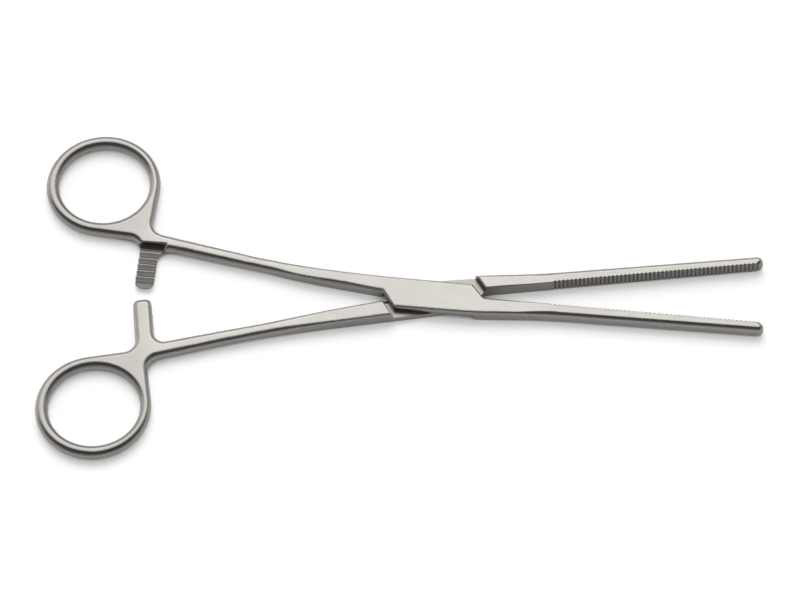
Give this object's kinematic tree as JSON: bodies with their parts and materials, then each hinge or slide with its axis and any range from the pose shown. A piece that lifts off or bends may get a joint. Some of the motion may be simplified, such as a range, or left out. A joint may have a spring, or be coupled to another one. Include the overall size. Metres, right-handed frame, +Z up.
{
  "type": "intestinal clamp",
  "caption": "Long scissor-action surgical clamp in satin steel with finger rings, ratchet arms, a flush riveted lap joint and slim straight jaws with fine cross ridges.",
  "frame": {"origin": "the rivet's axis on the underside of the joint", "axes": "+X towards the jaw tips along the line that halves the opening, +Y towards the ring of the top half, +Z up, with the clamp lying flat"},
  "size_m": [0.2496, 0.129, 0.0052],
  "materials": {
    "steel": "satin",
    "rivet": "satin, ground flush with the leaves"
  },
  "bodies": {
    "top": {"top_half": "steel", "pivot_rivet": "rivet"},
    "under": {"under_half": "steel"}
  },
  "joints": [
    {"name": "rivet_hinge", "type": "hinge", "parent": "top", "child": "under", "pos_m": [0, 0, 0], "axis": [0, 0, 1], "range_deg": [-11.6, 55]}
  ]
}
